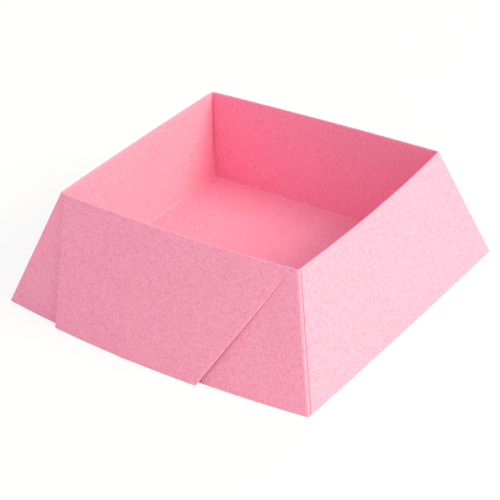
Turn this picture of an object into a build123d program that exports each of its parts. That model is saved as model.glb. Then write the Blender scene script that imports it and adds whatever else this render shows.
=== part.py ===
"""Open box folded from one square sheet of craft paper.

The sheet makes a square tray.  At the rim it turns over and hangs down outside as a flared
skirt that stands on the table.  The left and right skirt faces run on round the corner folds
as ears, and a trapezoid flap hangs from the front rim and from the back rim over the ears.

Frame: origin on the table under the middle of the skirt, +X right, -Y front, +Z up.
All lengths are in millimetres and all angles in degrees.
"""

from build123d import *
from math import cos, hypot, radians, sin, tan
import os

# ---------------------------------------------------------------- driving dimensions
# The sheet and its folds
paper = 0.25                # thickness of the sheet
fold_radius = 0.45          # outer radius of a corner fold
layer_clearance = 0.10      # air between two layers that lie on each other

# The rim, where the sheet turns over
rim_length = 76.0           # along X, over the folds
rim_width = 74.5            # along Y, over the folds
rim_height = 33.4           # above the table, in the middle of the rim
rim_tilt = 1.1              # the rim rises by this angle towards +X
rim_bow_front = 1.55        # how far the middle of each rim side bows outward
rim_bow_right = 1.30
rim_bow_back = 0.50
rim_bow_left = 0.45

# The tray
floor_rise = 4.30           # top of the tray's floor above the table
wall_lean = 0.40            # how far each wall leans in from the rim down to the floor

# The skirt
skirt_flare = 11.6          # how far the skirt's foot stands out from the rim, on each side
foot_bow_side = 1.20        # outward bow of the foot on the left and right
foot_bow_ears = 3.30        # the same at the front and back, measured on the ears

# The flap that hangs from the front rim, and its twin at the back
flap_stand_off = 1.70       # how far the flap's foot stands outside the ears' foot
flap_edge_left = 10.0       # slant of the flap's left edge, as seen from its own side
flap_edge_right = 27.4      # slant of its right edge
flap_start_left = 0.30      # from the rim's left corner to the flap's left edge
flap_start_right = 1.50     # from its right edge to the rim's right corner

# The ears under each flap
ear_reach_left = 25.0       # from the left rim corner to the left ear's free edge, at the top
ear_reach_right = 16.0      # the same for the right ear, from the right rim corner
ear_drop = 2.00             # how far an ear's top edge lies below the rim
ear_shoulder = 9.00         # length over which that edge comes down from the corner

# ---------------------------------------------------------------- derived values
overshoot = 5.0             # how far a cutting outline runs past what it cuts
half_length = rim_length / 2
half_width = rim_width / 2
rim_rise = half_length * tan(radians(rim_tilt))
skirt_wall = paper * hypot(skirt_flare, rim_height) / rim_height
fold_spread = paper * skirt_flare / rim_height
ear_inset = paper + layer_clearance
flap_flare = skirt_flare + flap_stand_off
flap_wall = paper * hypot(flap_flare, rim_height) / rim_height
flap_root = 1.5 * paper      # the rim fold is this deep, so that the flap grips the tray wall
floor_underside = floor_rise - paper
foot_length = half_length + skirt_flare
foot_width = half_width + skirt_flare
ear_rim_width = half_width - ear_inset
rim_plane = Plane(
    origin=(0, 0, rim_height),
    x_dir=(cos(radians(rim_tilt)), 0, sin(radians(rim_tilt))),
    z_dir=(-sin(radians(rim_tilt)), 0, cos(radians(rim_tilt))),
)
rim_bows = (rim_bow_front, rim_bow_right, rim_bow_back, rim_bow_left)
foot_bows = (foot_bow_ears, foot_bow_side, foot_bow_ears, foot_bow_side)
straight = (0, 0, 0, 0)


def bowed_rectangle(plane, half_x, half_y, bows, radius):
    """Return a rounded rectangle whose four sides bow outward, the front side first."""
    corners = [(-half_x, -half_y), (half_x, -half_y), (half_x, half_y), (-half_x, half_y)]
    with BuildSketch(plane) as rectangle:
        with BuildLine():
            for start, end, bow in zip(corners, corners[1:] + corners[:1], bows):
                if bow > 0:
                    SagittaArc(start, end, -bow)
                else:
                    Line(start, end)
        make_face()
        fillet(vertices(), radius)
    return rectangle.sketch


def flap_section(plane, turn, half_x, front_y, bow, depth):
    """Return the bowed strip of a flap's section; turn is 1 in front and -1 at the back."""
    outer_left = (-half_x * turn, -front_y * turn)
    outer_right = (half_x * turn, -front_y * turn)
    inner_left = (-half_x * turn, -(front_y - depth) * turn)
    inner_right = (half_x * turn, -(front_y - depth) * turn)
    with BuildSketch(plane) as strip:
        with BuildLine():
            SagittaArc(outer_left, outer_right, -bow)
            Line(outer_right, inner_right)
            SagittaArc(inner_right, inner_left, bow)
            Line(inner_left, outer_left)
        make_face()
    return strip.sketch


def on_slope(top_x, slant, z):
    """X at height z on an edge that starts at top_x on the rim and slants by slant."""
    slope_length = hypot(flap_flare, rim_height) / rim_height
    return top_x + tan(radians(slant)) * (rim_height - z) * slope_length


# ---------------------------------------------------------------- skirt: two faces, four ears
with BuildPart() as skirt:
    loft(
        [
            bowed_rectangle(Plane.XY, foot_length, foot_width, foot_bows, fold_radius),
            bowed_rectangle(rim_plane, half_length, ear_rim_width, rim_bows, fold_radius),
        ],
        ruled=True,
    )
    # The hollow stops one sheet below the rim, so that the rim fold joins skirt and tray
    loft(
        [
            bowed_rectangle(
                Plane.XY,
                foot_length - skirt_wall,
                foot_width - skirt_wall,
                foot_bows,
                fold_radius - paper,
            ),
            bowed_rectangle(
                rim_plane.offset(-paper),
                half_length - skirt_wall + fold_spread,
                ear_rim_width - skirt_wall + fold_spread,
                rim_bows,
                fold_radius - paper,
            ),
        ],
        ruled=True,
        mode=Mode.SUBTRACT,
    )

    # Between the free edges of the two ears nothing hangs under the flap
    for turn in (1, -1):
        low = -overshoot
        ear_top = rim_height - ear_drop
        above = rim_height + overshoot
        left_top = on_slope(ear_reach_left - half_length, flap_edge_left, ear_top)
        left_low = on_slope(ear_reach_left - half_length, flap_edge_left, low)
        right_top = on_slope(half_length - ear_reach_right, -flap_edge_right, ear_top)
        right_low = on_slope(half_length - ear_reach_right, -flap_edge_right, low)
        gap_outline = [
            (skirt_wall + fold_radius - half_length, rim_height - turn * rim_rise),
            (ear_shoulder - half_length, ear_top),
            (left_top, ear_top),
            (left_low, low),
            (right_low, low),
            (right_top, ear_top),
            (half_length - ear_shoulder, ear_top),
            (half_length - skirt_wall - fold_radius, rim_height + turn * rim_rise),
            (half_length - skirt_wall - fold_radius, above),
            (skirt_wall + fold_radius - half_length, above),
        ]
        with BuildSketch(Plane.XZ):
            with BuildLine():
                Polyline(*[(x * turn, z) for x, z in gap_outline], close=True)
            make_face()
        extrude(amount=turn * (foot_width + foot_bow_ears + overshoot), mode=Mode.SUBTRACT)

def hanging_flap(turn, rim_bow):
    """Make the flap of the front rim (turn 1) or of the back rim (turn -1)."""
    foot_front = half_width + flap_flare
    low = -overshoot
    high = rim_height + overshoot
    left_start = flap_start_left - half_length
    right_start = half_length - flap_start_right
    outline = [
        (on_slope(left_start, flap_edge_left, low), low),
        (on_slope(right_start, -flap_edge_right, low), low),
        (on_slope(right_start, -flap_edge_right, high), high),
        (on_slope(left_start, flap_edge_left, high), high),
    ]
    with BuildPart() as flap:
        loft(
            [
                flap_section(Plane.XY, turn, foot_length, foot_front, foot_bow_ears, flap_wall),
                flap_section(rim_plane, turn, half_length, half_width, rim_bow, flap_root),
            ],
            ruled=True,
        )
        with BuildSketch(Plane.XZ):
            with BuildLine():
                Polyline(*[(x * turn, z) for x, z in outline], close=True)
            make_face()
        extrude(amount=turn * (foot_front + foot_bow_ears + overshoot), mode=Mode.INTERSECT)
    return flap.part


front_flap = hanging_flap(1, rim_bow_front)
back_flap = hanging_flap(-1, rim_bow_back)

# ---------------------------------------------------------------- the folded sheet, one solid
with BuildPart() as folded_sheet:
    add(skirt.part)
    # The tray: its outside down to the floor's underside, then its inside down to the floor
    loft(
        [
            bowed_rectangle(
                Plane.XY.offset(floor_underside),
                half_length - paper - wall_lean,
                half_width - paper - wall_lean,
                straight,
                fold_radius,
            ),
            bowed_rectangle(
                rim_plane, half_length - paper, half_width - paper, rim_bows, fold_radius
            ),
        ],
        ruled=True,
    )
    loft(
        [
            bowed_rectangle(
                Plane.XY.offset(floor_rise),
                half_length - 2 * paper - wall_lean,
                half_width - 2 * paper - wall_lean,
                straight,
                fold_radius - paper,
            ),
            bowed_rectangle(
                rim_plane,
                half_length - 2 * paper,
                half_width - 2 * paper,
                rim_bows,
                fold_radius - paper,
            ),
        ],
        ruled=True,
        mode=Mode.SUBTRACT,
    )
    add(front_flap)
    add(back_flap)

folded_sheet.part.label = "folded_sheet"
os.makedirs("parts", exist_ok=True)
export_step(folded_sheet.part, "parts/folded_sheet.step")
print("solids", len(folded_sheet.part.solids()), "volume", round(folded_sheet.part.volume, 1))
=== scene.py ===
"""Looks of the folded paper box: one sheet of pink craft paper, modelled as the sheet it is.

The sheet is built in millimetres as one connected skin, then given the paper's thickness.
Sides are numbered from the front: 0 front (-Y), 1 right (+X), 2 back (+Y), 3 left (-X).
Corner i lies where side i starts, so corner 0 is front left and corner 1 is front right.
"""

from math import cos, exp, hypot, pi, radians, sin, tan

import bmesh
import bpy
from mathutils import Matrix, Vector, noise


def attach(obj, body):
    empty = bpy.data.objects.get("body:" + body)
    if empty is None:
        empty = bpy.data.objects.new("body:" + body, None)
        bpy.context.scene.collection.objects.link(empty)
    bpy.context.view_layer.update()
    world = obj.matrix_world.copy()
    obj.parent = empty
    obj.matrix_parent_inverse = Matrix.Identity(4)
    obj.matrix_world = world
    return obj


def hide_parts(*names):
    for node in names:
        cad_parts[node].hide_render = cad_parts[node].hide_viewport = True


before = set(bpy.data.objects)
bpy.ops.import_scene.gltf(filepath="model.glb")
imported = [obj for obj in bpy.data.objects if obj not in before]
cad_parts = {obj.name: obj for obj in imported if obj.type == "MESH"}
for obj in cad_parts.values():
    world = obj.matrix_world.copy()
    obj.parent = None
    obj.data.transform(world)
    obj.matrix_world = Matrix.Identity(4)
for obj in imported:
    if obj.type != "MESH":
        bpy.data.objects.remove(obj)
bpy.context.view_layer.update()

# ---------------------------------------------------------------- the box's sizes, in mm
MM = 0.001
PAPER = 0.25                # thickness of the sheet
RIM_FOLD = 0.30             # outer radius of the fold over the rim
CORNER_FOLD = 0.80          # outer radius of the folds at the skirt's corners
FLOOR_FOLD = 0.50           # radius of the fold between floor and wall

# Corners in order: front left, front right, back right, back left
RIM_CORNERS = [
    (-38.2, -37.0, 32.9),
    (37.8, -37.2, 33.6),
    (38.3, 37.35, 34.15),
    (-37.8, 36.8, 32.5),
]
FOOT_CORNERS = [
    (-49.6, -47.5, 0.0),
    (49.1, -49.9, 0.0),
    (50.5, 48.8, 0.0),
    (-49.6, 47.7, 0.0),
]
RIM_BOWS = [1.55, 1.25, 0.50, 0.40]     # outward bow of each side of the rim
FOOT_BOWS = [3.33, 0.30, 3.20, 0.90]    # and of the foot; front and back are the ears'
FLOOR_RISE = 4.30           # top of the tray's floor above the table
WALL_LEAN = 0.40            # how far each wall leans in from the rim down to the floor
CORNER_RECESS = 0.45        # depth of the crease where two walls of the tray meet

FLAP_STAND_OFF = 1.70       # how far the flap's foot stands outside the ears' foot
FLAP_SLANT_LEFT = 10.0      # slant of the flap's left edge in degrees, seen from its own side
FLAP_SLANT_RIGHT = 27.4
FLAP_START_LEFT = 0.40      # from the rim's left corner to the flap's left edge
FLAP_START_RIGHT = 1.60     # from its right edge to the rim's right corner
FLAP_CURL_LEFT = 0.03       # radius of the rounding along each of the flap's slanted edges
FLAP_CURL_RIGHT = 0.40
CURL_TURN = 115.0           # how far that rounding turns, in degrees
CURL_GROWTH = 4.0           # it is full a quarter of the way down
EAR_REACH_LEFT = 25.0       # length of each ear along the rim
EAR_REACH_RIGHT = 16.0
EAR_DROP = 2.0              # how far an ear's top edge lies below the rim
EAR_SHOULDER = 9.0          # length over which that edge comes down from the corner
EAR_INSET = 0.35            # how far an ear lies inside the flap at the rim

# Unevenness of hand-folded paper: (width of its waves, their height)
WALL_RIPPLE = (22.0, 0.22)
FLOOR_RIPPLE = (30.0, 0.25)
FACE_RIPPLE = (26.0, 0.30)
FLAP_RIPPLE = (24.0, 0.25)

# Faint creases: start along the side in mm, slant in degrees, and how far the line stands proud
FLAP_CREASE = (25.4, 11.0)
FACE_CREASE = (51.5, -15.0)
CREASE_HEIGHT = 0.20
CREASE_REACH = 1.5          # how fast the ridge falls away to both sides

# A narrow groove beside the corner fold, where the face laps over it
GROOVED_SIDES = (1, 3)
GROOVE_START = 0.10         # from the fold's rounding to the groove
GROOVE_WIDTH = 0.38
GROOVE_DEPTH = 0.75
GROOVE_COLUMN = 2           # the middle one of its three columns

NORMALS = [Vector((0, -1, 0)), Vector((1, 0, 0)), Vector((0, 1, 0)), Vector((-1, 0, 0))]

# How finely the skin is divided
CORNER_STEPS = 6
SIDE_STEPS = 56
WALL_STEPS = 16
FOLD_STEPS = 8
SKIRT_STEPS = 32
EAR_STEPS = 26
FLOOR_RINGS = 18
CURL_STEPS = 4
MERGE_DISTANCE = 0.0005     # points nearer than this, in mm, are one
SHARP_ANGLE = 40.0          # folds sharper than this, in degrees, are shaded as edges


# ---------------------------------------------------------------- places on the four levels
def corner_centre(corners, index):
    """Centre of the rounding at a corner, one fold radius inside both sides."""
    x, y, z = corners[index % 4]
    along = NORMALS[index % 4] + NORMALS[(index - 1) % 4]
    return Vector((x, y, z)) - CORNER_FOLD * along


def level_point(corners, bows, side, u, grow=0.0):
    """Point at share u along one side of a level, moved outward by grow."""
    start = corner_centre(corners, side)
    end = corner_centre(corners, side + 1)
    bow = bows[side % 4] * 4.0 * u * (1.0 - u)
    return start.lerp(end, u) + NORMALS[side % 4] * (CORNER_FOLD + bow + grow)


def corner_point(corners, index, share, grow=0.0):
    """Point on the rounding at a corner; share runs from the side before it to the side after."""
    before = NORMALS[(index - 1) % 4]
    after = NORMALS[index % 4]
    outward = before * cos(share * pi / 2) + after * sin(share * pi / 2)
    return corner_centre(corners, index) + outward * (CORNER_FOLD + grow)


def side_length(side):
    return (corner_centre(RIM_CORNERS, side + 1) - corner_centre(RIM_CORNERS, side)).length


FLOOR_CORNERS = [
    Vector((x, y, FLOOR_RISE))
    - (NORMALS[i] + NORMALS[i - 1]) * (2 * RIM_FOLD + WALL_LEAN)
    for i, (x, y, z) in enumerate(RIM_CORNERS)
]
NO_BOW = [0.0, 0.0, 0.0, 0.0]


def ripple(point, waves):
    """Unevenness of the paper at a point, in mm."""
    width, height = waves
    return height * noise.noise(Vector(point) / width)


def crease_ridge(crease, along, depth):
    """Height of the low ridge left by a crease, along mm from the rim's left corner."""
    start, slant = crease
    distance = abs(along - start - depth * tan(radians(slant)))
    return CREASE_HEIGHT * exp(-distance / CREASE_REACH)


# ---------------------------------------------------------------- the skin as a grid of points
class Skin:
    """Collects grids of points into one bmesh; points that coincide are merged later."""

    def __init__(self):
        self.mesh = bmesh.new()

    def grid(self, rows, closed=False):
        made = [[self.mesh.verts.new(p) for p in row] for row in rows]
        for low, high in zip(made, made[1:]):
            count = len(low)
            for i in range(count if closed else count - 1):
                j = (i + 1) % count
                self.mesh.faces.new((low[i], low[j], high[j], high[i]))
        return made


def level_share(side, offset, share):
    """Share along a side, part of the way down the skirt, of a place offset mm along the rim."""
    along = Vector((0, 0, 1)).cross(NORMALS[side % 4])
    start = corner_centre(RIM_CORNERS, side).lerp(corner_centre(FOOT_CORNERS, side), share)
    end = corner_centre(RIM_CORNERS, side + 1).lerp(corner_centre(FOOT_CORNERS, side + 1), share)
    place = corner_centre(RIM_CORNERS, side).dot(along) + offset
    return (place - start.dot(along)) / (end - start).dot(along)


def flap_limits(side, share, slope):
    """Shares at which the flap's left and right edges stand, part of the way down."""
    depth = share * slope
    left = FLAP_START_LEFT + depth * tan(radians(FLAP_SLANT_LEFT))
    right = side_length(side) - FLAP_START_RIGHT - depth * tan(radians(FLAP_SLANT_RIGHT))
    return level_share(side, left, share), level_share(side, right, share)


def groove_shares(side):
    """Shares of the three columns of the groove where a face laps the fold at its corner."""
    return [(GROOVE_START + k * GROOVE_WIDTH / 2) / side_length(side) for k in range(3)]


def rim_columns():
    """All columns round the rim: (kind, index, share) with the flap's edges among them."""
    columns = []
    for side in range(4):
        shares = [i / SIDE_STEPS for i in range(SIDE_STEPS + 1)]
        if side in GROOVED_SIDES:
            shares[1:1] = groove_shares(side)
        if side in (0, 2):
            left, right = flap_limits(side, 0.0, 0.0)
            inner = [left + (right - left) * i / SIDE_STEPS for i in range(SIDE_STEPS + 1)]
            shares = [0.0] + inner + [1.0]
        columns += [("side", side, u) for u in shares]
        columns += [("corner", side + 1, i / CORNER_STEPS) for i in range(1, CORNER_STEPS)]
    return columns


def column_point(level, column, grow=0.0):
    corners, bows = level
    kind, index, share = column
    if kind == "side":
        return level_point(corners, bows, index, share, grow)
    return corner_point(corners, index, share, grow)


def column_outward(column):
    kind, index, share = column
    if kind == "side":
        return NORMALS[index % 4]
    before = NORMALS[(index - 1) % 4]
    after = NORMALS[index % 4]
    return before * cos(share * pi / 2) + after * sin(share * pi / 2)


RIM = (RIM_CORNERS, RIM_BOWS)
FOOT = (FOOT_CORNERS, FOOT_BOWS)
FLOOR = (FLOOR_CORNERS, NO_BOW)


def tray_rows(columns):
    """Rows from the floor's edge up the walls and over the rim fold."""
    rows = []
    for i in range(FOLD_STEPS + 1):
        angle = i / FOLD_STEPS * pi / 2
        row = []
        for column in columns:
            point = column_point(FLOOR, column, grow=-FLOOR_FOLD * (1 - sin(angle)))
            row.append(point + Vector((0, 0, FLOOR_FOLD * (1 - cos(angle)))))
        rows.append(row)
    for i in range(1, WALL_STEPS + 1):
        rise = i / WALL_STEPS
        row = []
        for column, foot in zip(columns, rows[FOLD_STEPS]):
            top = column_point(RIM, column, grow=-2 * RIM_FOLD) - Vector((0, 0, RIM_FOLD))
            point = foot.lerp(top, rise)
            bulge = ripple(point, WALL_RIPPLE)
            if column[0] == "corner":
                bulge += CORNER_RECESS * sin(pi * column[2])
            row.append(point + column_outward(column) * bulge * sin(pi * rise) ** 0.5)
        rows.append(row)
    for i in range(1, FOLD_STEPS + 1):
        angle = i / FOLD_STEPS * pi
        row = []
        for column in columns:
            centre = column_point(RIM, column, grow=-RIM_FOLD) - Vector((0, 0, RIM_FOLD))
            outward = column_outward(column)
            up = Vector((0, 0, RIM_FOLD * sin(angle)))
            row.append(centre - outward * RIM_FOLD * cos(angle) + up)
        rows.append(row)
    return rows


def floor_rows(edge):
    """Rings from the middle of the floor out to its edge."""
    middle = sum(edge, Vector()) / len(edge)
    rows = []
    for i in range(1, FLOOR_RINGS):
        share = i / FLOOR_RINGS
        row = []
        for point in edge:
            place = middle.lerp(point, share)
            sag = ripple(place, FLOOR_RIPPLE) * (1 - share ** 4)
            row.append(place + Vector((0, 0, sag)))
        rows.append(row)
    rows.append(edge)
    return middle, rows


def skirt_drop(column, share, inset=0.0, foot_grow=0.0):
    """Point share of the way from the rim fold down to the foot."""
    top = column_point(RIM, column, grow=-inset) - Vector((0, 0, RIM_FOLD))
    foot = column_point(FOOT, column, grow=foot_grow)
    return top.lerp(foot, share)


def skirt_rows(side):
    """The left or right face with the two ears that run on from it round its corners."""
    slope = hypot(RIM_CORNERS[1][2], FOOT_CORNERS[1][0] - RIM_CORNERS[1][0])
    before, after = (side - 1) % 4, (side + 1) % 4
    shares = [j / SIDE_STEPS for j in range(SIDE_STEPS + 1)]
    shares[1:1] = groove_shares(side)
    rows = []
    for i in range(SKIRT_STEPS + 1):
        share = i / SKIRT_STEPS
        depth = share * slope
        row = []
        # The ear on the side before ends at a slanted free edge and runs up to the corner
        reach = EAR_REACH_RIGHT + depth * tan(radians(FLAP_SLANT_RIGHT))
        for j in range(EAR_STEPS):
            free = level_share(before, side_length(before) - reach, share)
            u = free + (1 - free) * j / EAR_STEPS
            row.append(ear_point(before, u, reach * (1 - j / EAR_STEPS), share, slope))
        row.append(skirt_drop(("side", before, 1.0), share))
        for j in range(1, CORNER_STEPS):
            row.append(skirt_drop(("corner", side, j / CORNER_STEPS), share))
        for j, u in enumerate(shares):
            point = skirt_drop(("side", side, u), share)
            bulge = ripple(point, FACE_RIPPLE)
            bulge += crease_ridge(FACE_CREASE, u * side_length(side), depth)
            bulge *= sin(pi * share) * sin(pi * u)
            if j == GROOVE_COLUMN and i > 0:
                bulge -= GROOVE_DEPTH
            row.append(point + NORMALS[side] * bulge)
        for j in range(1, CORNER_STEPS):
            row.append(skirt_drop(("corner", side + 1, j / CORNER_STEPS), share))
        row.append(skirt_drop(("side", after, 0.0), share))
        reach = EAR_REACH_LEFT + depth * tan(radians(FLAP_SLANT_LEFT))
        for j in range(1, EAR_STEPS + 1):
            u = level_share(after, reach, share) * j / EAR_STEPS
            row.append(ear_point(after, u, reach * j / EAR_STEPS, share, slope))
        rows.append(row)
    return rows


def ear_point(side, u, distance, share, slope):
    """Point of an ear, distance mm from its corner, whose top edge dips below the rim."""
    dip = min(1.0, distance / EAR_SHOULDER)
    dip = dip * dip * (3 - 2 * dip)
    start = EAR_DROP / slope * dip
    down = start + (1 - start) * share
    return skirt_drop(("side", side % 4, u), down, inset=EAR_INSET * dip)


def flap_rows(side):
    """The flap of the front or back rim, its slanted edges rounded over."""
    slope = hypot(RIM_CORNERS[1][2], FLAP_STAND_OFF + RIM_CORNERS[1][1] - FOOT_CORNERS[1][1])
    rows = []
    for i in range(SKIRT_STEPS + 1):
        share = i / SKIRT_STEPS
        left, right = flap_limits(side, share, slope)
        row = []
        for j in range(SIDE_STEPS + 1):
            u = left + (right - left) * j / SIDE_STEPS
            column = ("side", side, u)
            point = skirt_drop(column, share, foot_grow=FLAP_STAND_OFF)
            along = u * side_length(side)
            bulge = ripple(point, FLAP_RIPPLE) * sin(pi * share) * sin(pi * j / SIDE_STEPS)
            bulge += crease_ridge(FLAP_CREASE, along, share * slope) * share
            row.append(point + NORMALS[side] * bulge)
        rows.append(row)
    for i, row in enumerate(rows):
        curl_edges(row, -NORMALS[side], min(1.0, CURL_GROWTH * i / SKIRT_STEPS))
    return rows


def curl_edges(row, inward, grown):
    """Add the rounding at both ends of a row; grown runs from 0 to the full radius at 1."""
    along = (row[-1] - row[0]).normalized()
    left = curled_edge(row[0], -along, inward, FLAP_CURL_LEFT * grown)
    right = curled_edge(row[-1], along, inward, FLAP_CURL_RIGHT * grown)
    row[:0] = left[::-1]
    row.extend(right)


def curled_edge(base, direction, inward, curl):
    """Points of one rounding, going on from base."""
    points = []
    for k in range(1, CURL_STEPS + 1):
        angle = k / CURL_STEPS * radians(CURL_TURN)
        points.append(base + direction * curl * sin(angle) + inward * curl * (1 - cos(angle)))
    return points


# ---------------------------------------------------------------- the sheet as a piece
def add_object(name, data):
    """New object in the scene."""
    made = bpy.data.objects.new(name, data)
    bpy.context.collection.objects.link(made)
    return made


def distance_from_middle(face):
    centre = face.calc_center_median()
    return abs(centre.x) + abs(centre.y)


def make_sheet():
    """The sheet with its thickness, in metres."""
    skin = Skin()
    columns = rim_columns()
    tray = tray_rows(columns)
    skin.grid(tray, closed=True)
    middle, rings = floor_rows(tray[0])
    made = skin.grid(rings, closed=True)
    hub = skin.mesh.verts.new(middle + Vector((0, 0, ripple(middle, FLOOR_RIPPLE))))
    for a, b in zip(made[0], made[0][1:] + made[0][:1]):
        skin.mesh.faces.new((hub, a, b))
    for side in (1, 3):
        skin.grid(skirt_rows(side))
    for side in (0, 2):
        skin.grid(flap_rows(side))
    bmesh.ops.remove_doubles(skin.mesh, verts=skin.mesh.verts, dist=MERGE_DISTANCE)
    bmesh.ops.recalc_face_normals(skin.mesh, faces=skin.mesh.faces)
    # The upper side of the floor is the sheet's outer side
    middle_face = min(skin.mesh.faces, key=distance_from_middle)
    if middle_face.normal.z < 0:
        bmesh.ops.reverse_faces(skin.mesh, faces=skin.mesh.faces)
    bmesh.ops.scale(skin.mesh, vec=(MM, MM, MM), verts=skin.mesh.verts)
    mesh = bpy.data.meshes.new("folded_paper")
    skin.mesh.to_mesh(mesh)
    skin.mesh.free()
    sheet = add_object("folded_paper", mesh)
    thick = sheet.modifiers.new("paper", "SOLIDIFY")
    thick.thickness = PAPER * MM
    thick.offset = -1.0
    thick.use_even_offset = False
    evaluated = sheet.evaluated_get(bpy.context.evaluated_depsgraph_get())
    solid = bpy.data.meshes.new_from_object(evaluated)
    # The foot stands on the table, so none of its thickness goes below
    for vertex in solid.vertices:
        vertex.co.z = max(vertex.co.z, 0.0)
    sheet.modifiers.clear()
    sheet.data = solid
    sheet.data.polygons.foreach_set("use_smooth", [True] * len(sheet.data.polygons))
    sheet.data.set_sharp_from_angle(angle=radians(SHARP_ANGLE))
    return sheet


# ---------------------------------------------------------------- materials
PAPER_PINK = (0.97, 0.35, 0.52)
GRAIN_DARK = (0.96, 0.78, 0.82)         # the pink times this between the fibres
GRAIN_LIGHT = (1.03, 1.22, 1.17)        # and times this on them


def shade(share):
    """The paper's colour times one share for each channel."""
    return (*[c * s for c, s in zip(PAPER_PINK, share)], 1)


def paper_material():
    """Matt craft paper: speckled pink with a fine, fibrous surface."""
    material = bpy.data.materials.new("pink_craft_paper")
    material.use_nodes = True
    nodes = material.node_tree.nodes
    links = material.node_tree.links
    shader = nodes["Principled BSDF"]
    shader.inputs["Roughness"].default_value = 0.9
    shader.inputs["Specular IOR Level"].default_value = 0.25
    place = nodes.new("ShaderNodeTexCoord")

    def cloud(scale, detail, rough, distortion=0.0):
        node = nodes.new("ShaderNodeTexNoise")
        node.inputs["Scale"].default_value = scale
        node.inputs["Detail"].default_value = detail
        node.inputs["Roughness"].default_value = rough
        node.inputs["Distortion"].default_value = distortion
        links.new(place.outputs["Object"], node.inputs["Vector"])
        return node.outputs["Fac"]

    grain = cloud(1900.0, 2.0, 0.65, 0.4)
    fibre = cloud(4200.0, 2.0, 0.7, 1.5)
    patches = cloud(45.0, 2.0, 0.5)

    ramp = nodes.new("ShaderNodeValToRGB")
    ramp.color_ramp.elements[0].position = 0.32
    ramp.color_ramp.elements[1].position = 0.68
    ramp.color_ramp.elements[0].color = shade(GRAIN_DARK)
    ramp.color_ramp.elements[1].color = shade(GRAIN_LIGHT)
    links.new(grain, ramp.inputs["Fac"])

    tint = nodes.new("ShaderNodeMix")
    tint.data_type = "RGBA"
    tint.blend_type = "SOFT_LIGHT"
    tint.inputs["Factor"].default_value = 0.05
    links.new(ramp.outputs["Color"], tint.inputs["A"])
    links.new(patches, tint.inputs["B"])
    links.new(tint.outputs["Result"], shader.inputs["Base Color"])

    heights = nodes.new("ShaderNodeMath")
    heights.operation = "ADD"
    links.new(grain, heights.inputs[0])
    links.new(fibre, heights.inputs[1])
    bump = nodes.new("ShaderNodeBump")
    bump.inputs["Strength"].default_value = 0.35
    bump.inputs["Distance"].default_value = 0.00015
    links.new(heights.outputs[0], bump.inputs["Height"])
    links.new(bump.outputs["Normal"], shader.inputs["Normal"])
    return material


sheet = make_sheet()
sheet.data.materials.clear()
sheet.data.materials.append(paper_material())
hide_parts("folded_sheet")
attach(sheet, "root")


# ---------------------------------------------------------------- floor, light and camera
SHADOW_KEPT = 0.18          # share of the floor's own shading that the camera sees
FLOOR_WHITE = (0.92, 0.92, 0.92, 1)
FLOOR_REACH = 6.0           # metres from the box to the floor's edges


def seen_directly(nodes, links):
    """1 for camera, glossy and transmission rays, 0 for the rays that light the box."""
    path = nodes.new("ShaderNodeLightPath")
    seen = path.outputs["Is Camera Ray"]
    for ray in ("Is Glossy Ray", "Is Transmission Ray"):
        either = nodes.new("ShaderNodeMath")
        either.operation = "MAXIMUM"
        links.new(seen, either.inputs[0])
        links.new(path.outputs[ray], either.inputs[1])
        seen = either.outputs[0]
    return seen


def white_floor():
    """White floor that shows only part of its own shading, and with it the box's shadow."""
    mesh = bpy.data.meshes.new("studio_floor")
    reach = FLOOR_REACH
    corners = [(-reach, -reach, 0), (reach, -reach, 0), (reach, reach, 0), (-reach, reach, 0)]
    mesh.from_pydata(corners, [], [(0, 1, 2, 3)])
    floor = add_object("studio_floor", mesh)
    material = bpy.data.materials.new("white_paper_floor")
    material.use_nodes = True
    shader = material.node_tree.nodes["Principled BSDF"]
    shader.inputs["Base Color"].default_value = FLOOR_WHITE
    shader.inputs["Roughness"].default_value = 0.9
    nodes = material.node_tree.nodes
    links = material.node_tree.links
    white = nodes.new("ShaderNodeEmission")
    keep = nodes.new("ShaderNodeMath")
    keep.operation = "MULTIPLY"
    keep.inputs[1].default_value = 1 - SHADOW_KEPT
    links.new(seen_directly(nodes, links), keep.inputs[0])
    mix = nodes.new("ShaderNodeMixShader")
    links.new(keep.outputs[0], mix.inputs["Fac"])
    links.new(shader.outputs[0], mix.inputs[1])
    links.new(white.outputs[0], mix.inputs[2])
    links.new(mix.outputs[0], nodes["Material Output"].inputs["Surface"])
    mesh.materials.append(material)


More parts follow.
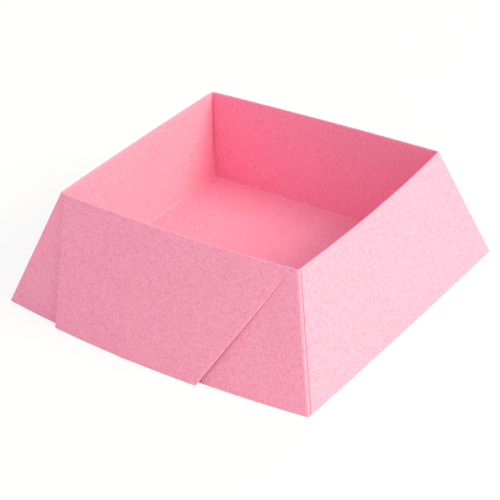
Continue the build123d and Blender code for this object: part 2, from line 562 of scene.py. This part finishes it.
def direction_to(azimuth, elevation):
    """Direction from the box; azimuth 0 is in front and 90 to the right, in degrees."""
    a, e = radians(azimuth), radians(elevation)
    return Vector((sin(a) * cos(e), -cos(a) * cos(e), sin(e)))


def soft_light(name, azimuth, elevation, distance, size, strength, colour):
    """Square area lamp that looks at the box."""
    data = bpy.data.lights.new(name, "AREA")
    data.size = size
    data.energy = strength
    data.color = colour
    lamp = add_object(name, data)
    direction = direction_to(azimuth, elevation)
    lamp.location = direction * distance
    lamp.rotation_euler = direction.to_track_quat("Z", "Y").to_euler()


def world_light(strength):
    """Even studio light; the camera, glossy and transmission rays see plain white."""
    world = bpy.data.worlds.new("studio")
    bpy.context.scene.world = world
    world.use_nodes = True
    nodes = world.node_tree.nodes
    links = world.node_tree.links
    nodes["Background"].inputs["Color"].default_value = (1, 1, 1, 1)
    nodes["Background"].inputs["Strength"].default_value = strength
    white = nodes.new("ShaderNodeBackground")
    white.inputs["Color"].default_value = (1, 1, 1, 1)
    mix = nodes.new("ShaderNodeMixShader")
    links.new(seen_directly(nodes, links), mix.inputs["Fac"])
    links.new(nodes["Background"].outputs[0], mix.inputs[1])
    links.new(white.outputs[0], mix.inputs[2])
    links.new(mix.outputs[0], nodes["World Output"].inputs["Surface"])


CAMERA_AZIMUTH = 32.77
CAMERA_ELEVATION = 31.93
CAMERA_DISTANCE = 0.5679
CAMERA_AIM = (-0.35, -0.30, 0.0)        # in mm


def camera():
    """Long lens from the front right, looking down at the box."""
    aim = Vector(CAMERA_AIM) * MM
    back = direction_to(CAMERA_AZIMUTH, CAMERA_ELEVATION)
    data = bpy.data.cameras.new("camera")
    data.lens = 144.24
    data.sensor_width = 36.0
    data.shift_x = -0.0014
    data.shift_y = 0.0511
    data.clip_start = 0.01
    eye = add_object("camera", data)
    eye.location = aim + back * CAMERA_DISTANCE
    eye.rotation_euler = back.to_track_quat("Z", "Y").to_euler()
    bpy.context.scene.camera = eye


white_floor()
soft_light(
    "key", azimuth=104, elevation=34, distance=1.4, size=0.7, strength=18.5,
    colour=(0.90, 0.95, 0.63),
)
world_light(0.76)
camera()
bpy.context.scene.view_settings.view_transform = "Standard"
